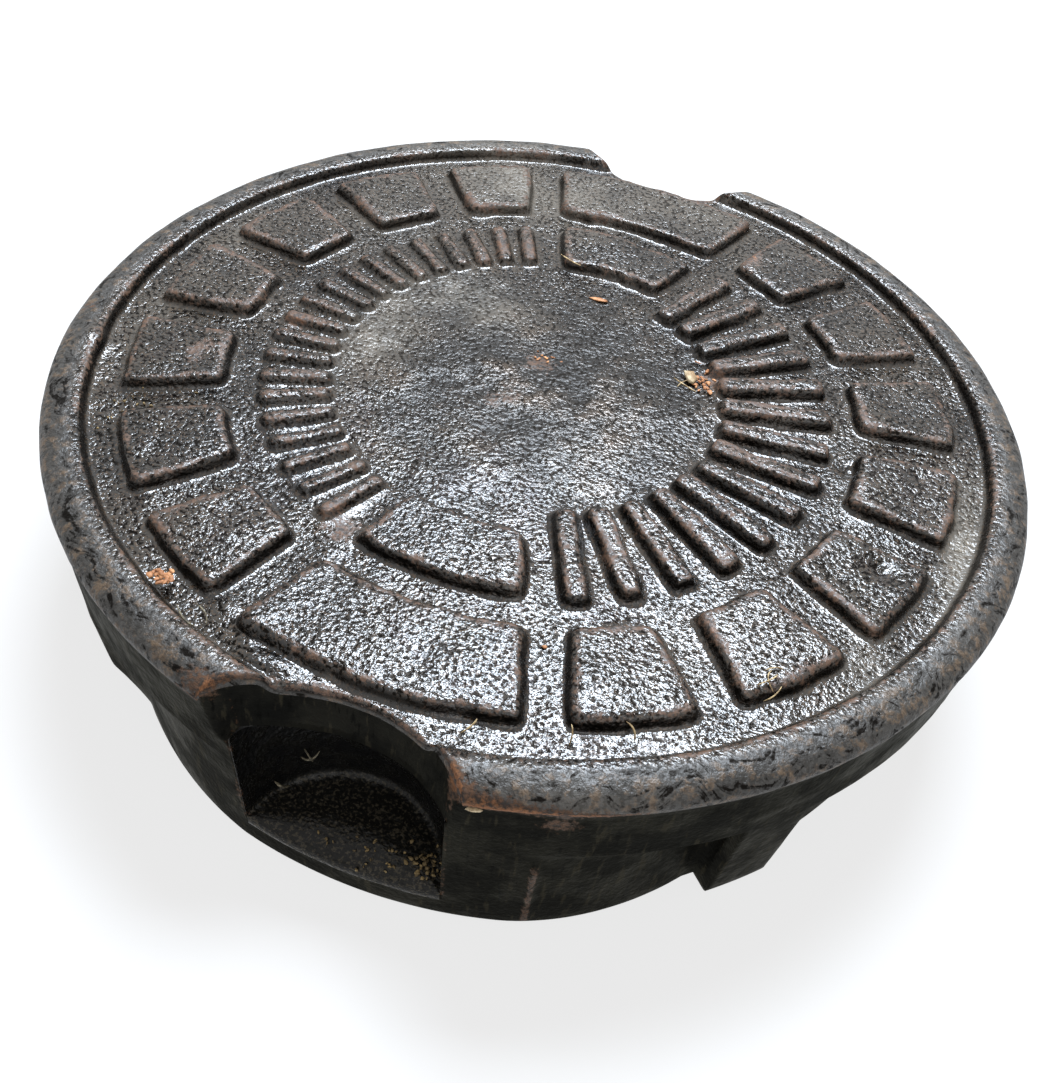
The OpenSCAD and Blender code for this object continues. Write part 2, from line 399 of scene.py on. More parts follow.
def low_r(z):
    """Radius under the band: a boss that turns in by a power of the angle, and a lug with a cone of its own."""
    turned = np.clip((AWAY - TURN_IN) / (TURN_END - TURN_IN), 0, 1) ** TURN_POWER
    boss = in_between(face_r(z), RELIEVED_R, turned)
    lug_share = np.clip((LUG_HALF - np.abs(AWAY - LUG)) / LUG_EDGE, 0, 1)
    lug_share = np.where(BENT_LUG, np.clip((AWAY - BENT_START) / BENT_SPAN, 0, 1), lug_share)
    lug = LUG_FOOT_R + BENT_OUT * BENT_LUG + (face_r(BAND_Z) - LUG_FOOT_R) * z / BAND_Z
    return boss + (np.minimum(lug, face_r(z)) - boss) * lug_share


def outer_r(z):
    """Radius of the rim's edge and of the band below its ledge."""
    return np.interp(z, [UNDER_Z, LEDGE_Z - 0.05, LEDGE_Z, SHOULDER_Z],
                     [face_r(UNDER_Z), face_r(LEDGE_Z), RIM_R - 0.3, RIM_R])


print("skirt radius at the foot from %.1f to %.1f" % (low_r(0.0).min(), low_r(0.0).max()))

# %% [markdown]
# At a pocket the section leaves the skirt. It runs in under the plate, down the round rear wall
# and out again over the floor. The same rings do this for the pocket's lines while they simply
# go down the face for all the others, so the surface stays one grid without a seam.

# %% Rings of the side
IN_POCKET = AWAY <= POCKET_EDGE + 1e-6
SIDE_Z = np.array([SHOULDER_Z - 0.6, LEDGE_Z, LEDGE_Z - 0.05, 46.9, 44.7, 42.6, UNDER_Z])
CEILING_Z = np.array([39.4, 38.2, 37.1, 36.0])
REAR_Z = np.array([34.2, 32.4, BAND_Z, 31.6, 31.1, 29.0, 26.0, 22.5, 19.0, 16.0])
FLOOR_Z = np.array([14.8, 13.6, 12.4, 11.2, POCKET_FLOOR])
FOOT_Z = np.array([7.0, 4.0, FOOT_ROUND])
STEP_IN = np.array([0, 0, 0, 0.5, 1, 1, 1, 1, 1, 1])
WALL_Z = np.array([39.5, 36, 32, 28, 24, 20, 16.5, 13.5, 12.2, 11.4])
FLOOR_SHARE = np.array([0.022, 0.06, 0.11, 0.5, 1])
FLOOR_ROUND = np.array([10.6, 10.15, POCKET_FLOOR, POCKET_FLOOR, POCKET_FLOOR])


def pocket_wall(z):
    """Plan point on the pocket's round wall: its circle, turned from its deepest point to the skirt's face."""
    face = face_r(z)
    edge = np.arccos((face ** 2 + POCKET_Y ** 2 - POCKET_R ** 2) / (2 * face * POCKET_Y))
    widest = np.arccos((POCKET_Y - face * np.cos(edge)) / POCKET_R)
    turn = widest * AWAY / POCKET_EDGE
    out, side = POCKET_Y - POCKET_R * np.cos(turn), POCKET_R * np.sin(turn)
    return np.hypot(out, side), SKIRT - FOLD + np.sign(FOLD) * np.arctan2(side, out)


def ring(r, angle, z):
    """One ring of the surface as x, y and z over all the lines."""
    r, angle, z = np.broadcast_arrays(r, angle, z)
    return np.stack([r * np.cos(angle), r * np.sin(angle), z])


def choose(pocket, outside):
    """The pocket's ring for the pocket's lines and the outside ring for the others."""
    return np.where(IN_POCKET, pocket, outside)


def rim_side():
    """Rings down the rim's edge, the ledge and the band, or down the notch's wall where that is nearer."""
    rings = []
    for z in SIDE_Z:
        level = top_z[-1] - (SHOULDER_Z - z) / (SHOULDER_Z - UNDER_Z) * (top_z[-1] - UNDER_Z)
        rings.append(ring(np.minimum(outer_r(level), notch_r(CUT_ANGLE, level)), SKIRT, level))
    return rings


def pocket_side(last):
    """Rings in under the plate, down the rear wall and out over the floor; elsewhere down the face."""
    wall_top, wall_foot = (ring(*pocket_wall(z), z) for z in (UNDER_Z, POCKET_FLOOR))
    floor_edge = ring(face_r(POCKET_FLOOR), SKIRT, POCKET_FLOOR)
    rings = [choose(in_between(last, wall_top, (k + 1) / len(CEILING_Z)), ring(face_r(z), SKIRT, z))
             for k, z in enumerate(CEILING_Z)]
    for level, z, step in zip(WALL_Z, REAR_Z, STEP_IN):
        rings.append(choose(ring(*pocket_wall(level), level),
                            ring(in_between(face_r(z), low_r(z), step), SKIRT, z)))
    for share, rounded, z in zip(FLOOR_SHARE, FLOOR_ROUND, FLOOR_Z):
        on_floor = in_between(wall_foot, floor_edge, share)
        on_floor[2] = rounded
        rings.append(choose(on_floor, ring(low_r(z), SKIRT, z)))
    return rings


def foot_rings():
    """Rings down to the foot and round its edge, a quarter circle."""
    rings = [ring(low_r(z), SKIRT, z) for z in FOOT_Z]
    for turn in rad(np.array([30, 60, 90])):
        inwards, up = FOOT_ROUND * (1 - np.cos(turn)), FOOT_ROUND * (1 - np.sin(turn))
        rings.append(ring(low_r(FOOT_ROUND) - inwards, SKIRT, up))
    return rings


rings = [ring(r, angle, z) for r, angle, z in zip(top_r, top_angle, top_z)]
rings += rim_side()
rings += pocket_side(rings[-1])
rings += foot_rings()
OUTSIDE_RINGS = len(rings)
print("rings so far:", OUTSIDE_RINGS)

# %% [markdown]
# Nobody sees the underside in the photograph, but a lid gets lifted and turned over. It is left as
# the foundry would leave it: a plain hollow with a large fillet, which lets the iron flow and
# cool evenly, and a wall of even thickness behind each pocket.

# %% Rings of the underside
def hollow_r():
    """Radius of the inner wall: round, or the circle behind the pocket's wall where that is nearer."""
    return np.minimum(HOLLOW_R, circle_from_centre(AWAY, POCKET_Y, POCKET_R + POCKET_WALL))


def underside_rings():
    """Rings over the foot, up the inner wall, round the fillet and in to the middle of the underside."""
    inner = hollow_r()
    foot_end = low_r(FOOT_ROUND) - FOOT_ROUND
    fillet = np.where(inner < HOLLOW_R - 0.01, 1.5, FILLET)
    rings = [ring(in_between(foot_end, inner + 1, 0.5), SKIRT, 0), ring(inner + 1, SKIRT, 0),
             ring(inner + 0.3, SKIRT, 0.3), ring(inner, SKIRT, 1)]
    rings += [ring(inner, SKIRT, in_between(1, UNDER_Z - fillet, share)) for share in (0.25, 0.5, 0.75, 1)]
    for turn in rad(np.array([22, 45, 68, 90])):
        rings.append(ring(inner - fillet * (1 - np.cos(turn)), SKIRT, UNDER_Z - fillet * (1 - np.sin(turn))))
    rings += [ring((inner - fillet) * share, SKIRT, UNDER_Z) for share in (0.8, 0.6, 0.4, 0.2, 0.04)]
    return rings


rings += underside_rings()
surface = np.stack(rings)
print("rings %d, lines %d, triangles about %d" % (len(rings), COLUMNS, 2 * len(rings) * COLUMNS))

# %% [markdown]
# A grid closes into a solid when the last line joins the first again, and one point at each pole
# closes the middle of the top and of the underside. The order of the corners decides which way a
# face points, so it is checked by the volume: a shell whose faces point outwards has a positive one.

# %% Make the mesh
def shell_faces(count, lines, offset):
    """Corners and face sizes of one closed grid: quads between rings, and a fan of triangles at each pole."""
    here, there = np.arange(lines), (np.arange(lines) + 1) % lines
    steps = np.arange(count - 1)[:, None] * lines
    quads = np.stack([steps + here, steps + lines + here, steps + lines + there, steps + there], axis=-1)
    first, last = count * lines, (count - 1) * lines
    top = np.stack([0 * here + first, here, there], axis=-1)
    under = np.stack([last + here, 0 * here + first + 1, last + there], axis=-1)
    corners = np.concatenate([quads.ravel(), top.ravel(), under.ravel()]) + offset
    return corners, np.concatenate([np.full(quads[..., 0].size, 4), np.full(2 * lines, 3)])


def make_piece(name, shells):
    """One object of closed shells, each a grid of rings x 3 x lines with two poles, in millimetres."""
    points, corners, sizes, offset = [], [], [], 0
    for grid, first, last in shells:
        shell = np.vstack([grid.transpose(0, 2, 1).reshape(-1, 3), [first, last]])
        shell_corners, shell_sizes = shell_faces(grid.shape[0], grid.shape[2], offset)
        points.append(shell)
        corners.append(shell_corners)
        sizes.append(shell_sizes)
        offset += len(shell)
    points, corners, sizes = np.vstack(points) * MM, np.concatenate(corners), np.concatenate(sizes)
    mesh = bpy.data.meshes.new(name)
    mesh.vertices.add(len(points))
    mesh.vertices.foreach_set("co", points.astype(np.float32).ravel())
    mesh.loops.add(len(corners))
    mesh.loops.foreach_set("vertex_index", corners.astype(np.int32))
    mesh.polygons.add(len(sizes))
    mesh.polygons.foreach_set("loop_start", (np.cumsum(sizes) - sizes).astype(np.int32))
    mesh.polygons.foreach_set("use_smooth", np.ones(len(sizes), bool))
    mesh.update(calc_edges=True)
    mesh.validate()
    obj = bpy.data.objects.new(name, mesh)
    bpy.context.scene.collection.objects.link(obj)
    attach(obj, "root")
    return obj


def volume(obj):
    """Signed volume in cubic centimetres: a sixth of the sum of each triangle's triple product."""
    mesh = obj.data
    mesh.calc_loop_triangles()
    points = np.empty(len(mesh.vertices) * 3)
    mesh.vertices.foreach_get("co", points)
    triangles = np.empty(len(mesh.loop_triangles) * 3, np.int32)
    mesh.loop_triangles.foreach_get("vertices", triangles)
    a, b, c = points.reshape(-1, 3)[triangles.reshape(-1, 3)].transpose(1, 0, 2)
    return np.einsum("ij,ij->", a, np.cross(b, c)) / 6 * 1e6


lid = make_piece("lid", [(surface, (0, 0, surface[0, 2].mean()), (0, 0, UNDER_Z))])
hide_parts("lid_casting")
print("lid: %d faces, volume %.0f cubic cm" % (len(lid.data.polygons), volume(lid)))

# %% [markdown]
# No two castings are quite alike. The flat ground of the real tread swells and sinks by a few
# tenths of a millimetre, and its reflections wander. A few marks are its own: blow holes where
# gas was trapped, a smear of iron beside the front pad, a lump on the notch's edge, a ridge down
# the skirt and torn skin under the rim. They are moved points here, not paint.

# %% Swell of the surface
def mesh_points(obj):
    """The points of a mesh in millimetres."""
    points = np.empty(len(obj.data.vertices) * 3)
    obj.data.vertices.foreach_get("co", points)
    return points.reshape(-1, 3) / MM


def mesh_normals(obj):
    """The outward direction at each point of a mesh."""
    normals = np.empty(len(obj.data.vertices) * 3, np.float32)
    obj.data.vertex_normals.foreach_get("vector", normals)
    return normals.reshape(-1, 3).astype(float)


points, normals = mesh_points(lid), mesh_normals(lid)
height, turn, out = points[:, 2], np.arctan2(points[:, 1], points[:, 0]), np.hypot(points[:, 0], points[:, 1])
swell = 0.16 * waves(points, 42, 24) + 0.09 * waves(points, 14, 40) + 0.045 * waves(points, 6, 60)
on_rim = ramp(out, RIM_IN_R - 2, RIM_IN_R + 2)
swell = swell * (1 - 0.6 * on_rim) * ramp(height, -1, 5)
print("casting waves from %.2f to %.2f mm" % (swell.min(), swell.max()))

# %% Marks of this casting
PLATE, TOP = 51, 54
HOLES = [((73.0, 4.4, PLATE), 1.9, -1.5), ((27.3, -80.9, TOP), 1.5, -0.9),
         ((-70.2, -69.6, TOP), 1.6, -0.7), ((85.0, -26.2, TOP), 2.6, -1.7),
         ((88.0, 6.0, TOP), 2.0, -0.8), ((17.0, -52.0, PLATE), 1.6, -0.6)]
LUMPS = [((-17.8, -99.3, PLATE), 3.2, 1.1), ((-26.0, -94.0, PLATE), 3.6, 0.9),
         ((-22.0, -100.0, PLATE), 2.4, 0.8), ((-33.0, -91.0, 52), 3.0, 0.6),
         ((-101.1, -34.2, 52.5), 3.4, 1.3)]
RIDGE_AT, RIDGE_TOP, RIDGE_WIDTH = rad(-69.8), 30, 0.8


def bell(distance, width):
    """1 at no distance, falling off as exp of minus the squared distance over the squared width."""
    return np.exp(-(distance / width) ** 2)


def hills(points, table):
    """Sum of round hills: each row's height times the bells of x, y and z about its place."""
    return sum(size * bell(points - place, np.array(width)).prod(axis=1) for place, width, size in table)


marks = np.where(height > UNDER_Z + 6, hills(points, HOLES + LUMPS), 0)
ridge = 0.9 * bell((turn - RIDGE_AT) * FACE_FOOT_R, RIDGE_WIDTH) * (out > FACE_FOOT_R - 3)
ridge = ridge * ramp(RIDGE_TOP - height, 0, 4) * ramp(height, 0.5, 5)
torn = 0.125 * waves(points * np.array([1, 1, 2.2]), 9, 50) * ramp(out, FACE_FOOT_R - 1, FACE_FOOT_R + 1)
torn = torn * ramp(LEDGE_Z - height, 0.2, 1.5) * ramp(height, 34, 40) * ramp(turn, rad(-66), rad(-50))
points = points + normals * (swell + marks + ridge + torn)[:, None]
lid.data.vertices.foreach_set("co", (points * MM).astype(np.float32).ravel())
lid.data.update()
print("marks from %.2f to %.2f mm" % (marks.min(), marks.max()))

# %% [markdown]
# A finish follows the shape: rust sits on worn edges, the feet of walls stay smooth and wet, steep walls are
# painted in shade, and the sides are darker, partly because they never wore bright and partly as painted shade.
# Each of these is a number from 0 to 1 at every point of the mesh. They are worked out from the same rings that
# made the shape, and the materials read them by name.

# %% Numbers for edges, feet and walls
top_count = len(TOP_RINGS)
row = np.arange(len(rings))[:, None]
on_top = row < top_count
level, plan_r = surface[:, 2], np.hypot(surface[:, 0], surface[:, 1])
inside = np.full((len(rings), COLUMNS), NOWHERE)
inside[:top_count] = top_inside


def save_numbers(name, values):
    """Store one number per point of the lid as a named attribute; the two poles get 0."""
    values = np.append(values, np.zeros(len(points) - values.size))
    layer = lid.data.attributes.new(name, "FLOAT", "POINT")
    layer.data.foreach_set("value", np.clip(values, 0, 1).astype(np.float32))


near_rim = np.maximum(0, 1 - np.abs(plan_r - RIM_IN_R - 0.4) / 1.3)
near_cut = ramp(3.0 - (EDGE - plan_r), 0, 2.4) * (EDGE < RIM_R - 0.5)
save_numbers("edge", np.maximum(bell(inside - 0.7, 1.3), np.maximum(near_rim, near_cut) * on_top))
save_numbers("foot", np.maximum(bell(inside + 1.5, 0.7), bell(plan_r - RIM_IN_R + 1.5, 0.7)) * on_top)
save_numbers("shoulder", np.where(on_top, ramp(plan_r, RIM_IN_R + 0.8, RIM_IN_R + 3.4), 1))
save_numbers("lip", bell(level - LEDGE_Z - 0.5, 0.9) * (plan_r > RIM_R - 3) * (row < top_count + 3))
# Steep faces: the tread paints shade on them.
save_numbers("wall", 1 - ramp(mesh_normals(lid)[:, 2], 0.3, 0.8))

# %% Numbers for the skirt, and the streaks
jamb = bell((AWAY - rad(11.4)) * FACE_FOOT_R, 0.9) * (plan_r > FACE_FOOT_R - 1.5) * ramp(level, 6, 12)
sill = bell(plan_r - FACE_FOOT_R + 0.6, 1.1) * (np.abs(level - POCKET_FLOOR) < 0.3) * IN_POCKET
band_edge = 0.6 * bell(level - BAND_Z, 0.7) * (plan_r > FACE_FOOT_R - 1)
scar = bell((SKIRT - RIDGE_AT) * FACE_FOOT_R, RIDGE_WIDTH) * (plan_r > FACE_FOOT_R - 3)
scar = scar * ramp(RIDGE_TOP - level, 0, 4)
save_numbers("jamb", np.maximum(scar, 0.5 * np.maximum(jamb, np.maximum(sill, band_edge))) * ~on_top)
along = np.cumsum(np.linalg.norm(np.diff(surface, axis=0, prepend=surface[:1]), axis=1), axis=0)
streak = np.stack([surface[:, 0] / 7, surface[:, 1] / 7, along], axis=-1).reshape(-1, 3) * MM
layer = lid.data.attributes.new("streak", "FLOAT_VECTOR", "POINT")
layer.data.foreach_set("vector", np.vstack([streak, np.zeros((2, 3))]).astype(np.float32).ravel())
print("the sections are up to %.0f mm long" % along.max())

# %% Numbers for rust, the dark middle and dust
RUST = [((-28.0, -110.2, 53), 4.6, 1.0), ((-19, -111, PLATE), 3, 0.8), ((22.3, -108.4, 52), 3.0, 1.0),
        ((35.2, 73.8, TOP), 4.0, 0.7), ((36.8, -108.8, 50.4), (8, 5, 2), 1.0),
        ((28, -111.2, 50.8), (5, 4, 2.4), 1), ((48, -103.8, 49.6), (9, 7, 1.5), 0.9),
        ((41.5, -105.5, 45), (5, 4, 3), 0.7), ((-5.2, 8.5, PLATE), 5, 1), ((-8.9, -8.2, PLATE), 4.0, 0.8),
        ((-77.0, -28.4, TOP), (3, 6, 2), 0.8), ((-108.4, -24.3, 53), 3, 0.7), ((-22.8, -62.5, PLATE), 5, 0.8),
        ((-63.1, -6.0, 52), 4.0, 0.55), ((35.5, 21.0, PLATE), 4.5, 1.0), ((-110.5, 8.0, PLATE), (3, 9, 2), 0.6)]
DUST = [((-32.0, 24.0, PLATE), (16, 10, 4), 1.0), ((-44.0, 2.0, PLATE), (9, 16, 4), 0.8),
        ((101.0, -14.0, PLATE), (3.5, 24, 4), 1.0), ((88.0, -52.0, PLATE), (6, 9, 4), 0.6),
        ((-62.0, 44.0, PLATE), (12, 9, 4), 0.6), ((-38.0, 80.0, TOP), (28, 18, 4), 1.0),
        ((14.0, 90.0, TOP), (40, 14, 4), 0.35), ((-96.0, 10.0, PLATE), (6, 40, 4), 0.4),
        ((50.0, -104.0, PLATE), (22, 5, 4), 0.35)]
save_numbers("rust_marks", hills(points, RUST))
# A darker, mottled patch in the middle of the tread.
save_numbers("dark_middle", hills(points, [((0.0, 0.0, PLATE), (40, 36, 4), 1.0)]))
save_numbers("dust", hills(points, DUST))
print("attributes:", [a.name for a in lid.data.attributes if a.data_type == "FLOAT"])

# %% [markdown]
# The side below the rim has a finish of its own, and so has the inside of the pockets. A face
# belongs to a ring and a line of the grid, so picking it needs only those two numbers.

# %% Faces of the side and the pockets
face_ring = np.append(np.repeat(np.arange(len(rings) - 1), COLUMNS), [0] * COLUMNS + [len(rings)] * COLUMNS)
face_line = np.append(np.tile(np.arange(COLUMNS), len(rings) - 1), np.tile(np.arange(COLUMNS), 2))
below_rim = face_ring >= top_count + 1
rear = (face_ring >= top_count + len(SIDE_Z) - 1) & (face_ring < OUTSIDE_RINGS - 6)
in_pocket = rear & IN_POCKET[face_line] & IN_POCKET[(face_line + 1) % COLUMNS]
face_slot = np.where(in_pocket, 2, below_rim.astype(int)).astype(np.int32)
print("faces on the side:", int((face_slot == 1).sum()), "in the pockets:", int((face_slot == 2).sum()))

# %% [markdown]
# A material is a graph of nodes. A small class keeps the graphs readable here: each method adds
# one kind of node, with its inputs linked or filled, and gives back the output that is used.

# %% Helper for node graphs
class Graph:
    """A node tree, with a short method for each kind of node."""

    def __init__(self, tree):
        self.tree = tree

    def put(self, value, socket):
        """Link another node's output to a socket, or write a plain value into it."""
        if isinstance(value, bpy.types.NodeSocket):
            self.tree.links.new(value, socket)
        else:
            socket.default_value = value

    def add(self, kind, inputs=None, **settings):
        """Add a node, set its properties, and link or fill its inputs by name or number."""
        node = self.tree.nodes.new("ShaderNode" + kind)
        for name, value in settings.items():
            setattr(node, name, value)
        for name, value in (inputs or {}).items():
            self.put(value, node.inputs[name])
        return node

    def noise(self, vector, scale, detail=2.0, roughness=0.5):
        """Noise texture whose bumps are about 1 / scale metres wide."""
        return self.add("TexNoise", {"Vector": vector, "Scale": scale, "Detail": detail,
                                     "Roughness": roughness}).outputs[0]

    def mask(self, value, start, end, low=0.0, high=1.0):
        """Smooth step from low at start to high at end."""
        return self.add("MapRange", {"Value": value, 1: start, 2: end, 3: low, 4: high},
                        interpolation_type="SMOOTHSTEP").outputs[0]

    def math(self, operation, first, *others):
        """A chain of arithmetic nodes."""
        for other in others:
            first = self.add("Math", {0: first, 1: other}, operation=operation).outputs[0]
        return first

    def plus(self, *values):
        """Sum of several values."""
        return self.math("ADD", *values)

    def times(self, *values):
        """Product of several values."""
        return self.math("MULTIPLY", *values)

    def blend(self, share, a, b):
        """Mix two colours by a share."""
        return self.add("Mix", {0: share, 6: a, 7: b}, data_type="RGBA").outputs[2]

    def number(self, name, output="Fac"):
        """A named number, or place, of the mesh."""
        return self.add("Attribute", attribute_name=name).outputs[output]

    def use(self, group, inputs):
        """Place a node group, fill its inputs and give its outputs."""
        return self.add("Group", inputs, node_tree=group).outputs

    def bump(self, height, distance, strength=1.0):
        """The normal of a surface whose height changes by the distance."""
        return self.add("Bump", {"Height": height, "Strength": strength, "Distance": distance}).outputs[0]


def colour(red, green, blue):
    """A colour written as the eye sees it, 0 to 255, turned into the shader's linear values."""
    part = np.array([red, green, blue]) / 255
    return (*np.where(part <= 0.04045, part / 12.92, ((part + 0.055) / 1.055) ** 2.4), 1.0)


print("colour of soot black:", [round(c, 3) for c in colour(40, 38, 35)])

# %% [markdown]
# The grain of sand-cast iron is the print of the sand: round bumps about a millimetre across, finer roughness
# on them, and a few pores, the low spots, where the tread paints shade. The group gives it as a height and as
# masks, so that colour and gloss follow the same bumps. It is used on the tread and, more faintly, on the side.

# %% Groups for the grain and the rust
def new_group(name, inputs, outputs):
    """An empty shader node group with named sockets: its graph, its inputs' values and its outputs' sockets."""
    tree = bpy.data.node_groups.new(name, "ShaderNodeTree")
    for sockets, side in ((inputs, "INPUT"), (outputs, "OUTPUT")):
        for label, kind in sockets.items():
            tree.interface.new_socket(label, in_out=side, socket_type="NodeSocket" + kind)
    return Graph(tree), tree.nodes.new("NodeGroupInput").outputs, tree.nodes.new("NodeGroupOutput").inputs


def grain_group():
    """Node group: Vector and Size in, Height, Pores, Specks and Patches out."""
    g, given, made = new_group("cast_grain", {"Vector": "Vector", "Size": "Float"},
                               {"Height": "Float", "Pores": "Float", "Specks": "Float", "Patches": "Float"})
    per_grain = g.math("DIVIDE", 1.0, given["Size"])
    bumps = g.noise(given["Vector"], per_grain, 2.0, 0.55)
    wide = g.noise(given["Vector"], g.times(per_grain, 0.3), 2.0)
    specks = g.noise(given["Vector"], g.times(per_grain, 1.6), 1.0, 0.6)
    g.put(g.plus(bumps, g.times(wide, 0.8)), made["Height"])
    # Pores: the low spots of the bumps, where the tread paints shade.
    g.put(g.mask(bumps, 0.53, 0.39), made["Pores"])
    g.put(g.mask(specks, 0.5, 0.68), made["Specks"])
    g.put(g.mask(wide, 0.42, 0.6), made["Patches"])
    return g.tree


def rust_group():
    """Node group: Vector and Amount in, Mask and Color out. The mask breaks up into crumbs at its border."""
    g, given, made = new_group("rust_crust", {"Vector": "Vector", "Amount": "Float"},
                               {"Mask": "Float", "Color": "Color"})
    crumbs = g.noise(given["Vector"], 900, 4.0, 0.7)
    clouds = g.noise(given["Vector"], 150, 3.0, 0.6)
    level = g.plus(g.times(crumbs, 0.6), g.times(clouds, 0.4), g.times(given["Amount"], 0.42))
    g.put(g.mask(level, 0.66, 0.82), made["Mask"])
    warm = g.blend(g.mask(crumbs, 0.38, 0.6), colour(38, 28, 21), colour(86, 60, 41))
    g.put(g.blend(g.mask(level, 0.86, 1.04), warm, colour(124, 80, 47)), made["Color"])
    return g.tree


GRAIN, CRUST = grain_group(), rust_group()
print("groups:", GRAIN.name, CRUST.name)

# %% [markdown]
# The tread is black-coated iron, worn grey-brown and wet with oil: dark colour, sharp small highlights. Its
# steep walls and the low spots of its grain are painted in shade: a dark colour that is also metallic, because
# a metal's colour tints its reflections too, so a black metal shows hardly any and the painted shade darkens
# the reflections as well. The middle is a darker, mottled patch, and edges rust. The shoulder of the rim is
# duller, with dark pits in streaks that follow it round, painted shade in the low spots of its bumps, so they
# read a stretched place.

# %% Parts of the tread's finish
def start_material(name):
    """A material, its graph, the inputs of its Principled shader and the object coordinates."""
    material = bpy.data.materials.new(name)
    material.use_nodes = True
    g = Graph(material.node_tree)
    return material, g, g.tree.nodes["Principled BSDF"].inputs, g.add("TexCoord").outputs["Object"]


def rim_tone(g, place, lumps):
    """Mottled colour of the rim's shoulder: olive, brown and grey."""
    tone = g.blend(g.mask(g.noise(place, 130, 5.0, 0.7), 0.4, 0.6), colour(30, 27, 22), colour(50, 47, 43))
    return g.blend(g.mask(lumps, 0.5, 0.64), tone, colour(84, 66, 47))


def painted_shade_and_dark_middle(g, n, grain, stains, lumps):
    """Painted shade on the walls of the tread, in its pores and in the pits and short lines of the shoulder,
    and darker spots in the middle patch.
    """
    # Painted shade in the low spots of the grain and of the shoulder's bumps, and on the steep walls, weaker at
    # their feet.
    pores = g.times(grain["Pores"], g.mask(n["shoulder"], 0.0, 1.0, 1.0, 0.35))
    lines = g.noise(g.number("streak", "Vector"), 700, 3.0, 0.6)
    pits = g.times(n["shoulder"], g.mask(g.plus(lumps, lines), 0.98, 0.8))
    walls = g.times(n["wall"], n["flat"])
    dark = g.times(g.math("MAXIMUM", pores, pits, walls), g.mask(n["foot"], 0.2, 1.0, 1.0, 0.25))
    # Darker spots in the middle patch.
    return g.math("MAXIMUM", dark, g.times(n["dark_middle"], g.mask(stains, 0.62, 0.42, 0.3, 0.65)))


def tread_colour(g, n, place, grain, stains, lumps, dark):
    """Black to grey-brown ground with specks, under the rim's tone, the dark middle patch, stains, dust and
    painted shade.
    """
    base = g.blend(g.mask(stains, 0.36, 0.62), colour(16, 16, 16), colour(52, 47, 41))
    base = g.blend(g.times(grain["Specks"], 0.5), base, colour(92, 70, 48))
    base = g.blend(n["shoulder"], base, rim_tone(g, place, lumps))
    # The middle patch: black and brown mottling.
    base = g.blend(g.times(n["dark_middle"], g.mask(stains, 0.55, 0.44, 0.3, 0.9)), base, colour(10, 10, 10))
    base = g.blend(g.times(n["dark_middle"], g.mask(stains, 0.53, 0.62, 0.0, 0.7)), base, colour(84, 66, 48))
    base = g.blend(g.times(n["dust"], 0.6), base, colour(126, 118, 106))
    # Painted shade on walls, pores and pits, with the middle's dark spots, weaker under dust.
    return g.blend(g.times(dark, g.mask(n["dust"], 0.0, 1.0, 1.0, 0.5)), base, colour(18, 15, 12))


# %% Tread material
def tread_material():
    """Worn, oily black iron for everything above the rim's lower edge."""
    material, g, shader, place = start_material("coated_iron")
    names = ("edge", "foot", "wall", "shoulder", "lip", "dark_middle", "dust", "rust_marks")
    n = {name: g.number(name) for name in names}
    n["flat"] = g.math("SUBTRACT", 1.0, n["shoulder"])
    grain = g.use(GRAIN, {"Vector": place, "Size": 0.001})
    stains, lumps = g.noise(place, 45, 5.0, 0.62), g.noise(place, 330, 4.0, 0.72)
    n["dust"] = g.times(n["dust"], g.mask(stains, 0.34, 0.6, 0.35, 1.0))
    dark = painted_shade_and_dark_middle(g, n, grain, stains, lumps)
    base = tread_colour(g, n, place, grain, stains, lumps, dark)
    amount = g.plus(g.times(n["edge"], 0.56), g.times(n["rust_marks"], 0.85), g.times(n["lip"], 0.36),
                    g.times(n["flat"], g.mask(stains, 0.5, 0.62, 0.0, 0.2)))
    rust = g.use(CRUST, {"Vector": place, "Amount": amount})
    g.put(g.blend(rust["Mask"], base, rust["Color"]), shader["Base Color"])
    # The painted shade is metallic, so that it darkens the reflections too.
    g.put(g.times(dark, g.math("SUBTRACT", 1.0, rust["Mask"]), 0.95), shader["Metallic"])
    wet = g.times(g.mask(stains, 0.4, 0.58, 0.15, 0.08), g.mask(n["foot"], 0.2, 1.0, 1.0, 0.6))
    dull = g.times(n["shoulder"], g.mask(stains, 0.35, 0.65, 0.28, 0.44))
    rough = g.plus(wet, dull, g.times(rust["Mask"], 0.45), g.times(n["dust"], 0.25), g.times(n["dark_middle"], 0.1),
                   g.times(dark, 0.15))
    g.put(g.math("MINIMUM", rough, 1.0), shader["Roughness"])
    strength = g.math("SUBTRACT", 1.0, g.times(g.math("MAXIMUM", n["shoulder"], n["foot"]), 0.3))
    height = g.plus(g.times(grain["Height"], strength), g.times(n["shoulder"], lumps, 1.8),
                    g.times(n["dark_middle"], stains, 7.0))
    g.put(g.bump(height, 0.0003), shader["Normal"])
    shader["Specular IOR Level"].default_value = 0.6
    return material


# %% [markdown]
# Below the rim nothing wears the iron bright. The skirt is matte, olive-black and scratched up and down where
# the lid scrapes its box, and its dark colour is partly that unworn coat and partly painted shade. Being metal,
# its dark colour also darkens what it mirrors. The pockets are the same iron, but wet, with brown grit on their
# floors, and their black colour is partly the wet iron and partly painted shade in the recess.

# %% Side and pocket materials
def rusted(g, place, base, amount):
    """The rust's mask, and a base colour with the rust mostly over it."""
    rust = g.use(CRUST, {"Vector": place, "Amount": amount})
    return rust["Mask"], g.blend(g.times(rust["Mask"], 0.8), base, rust["Color"])


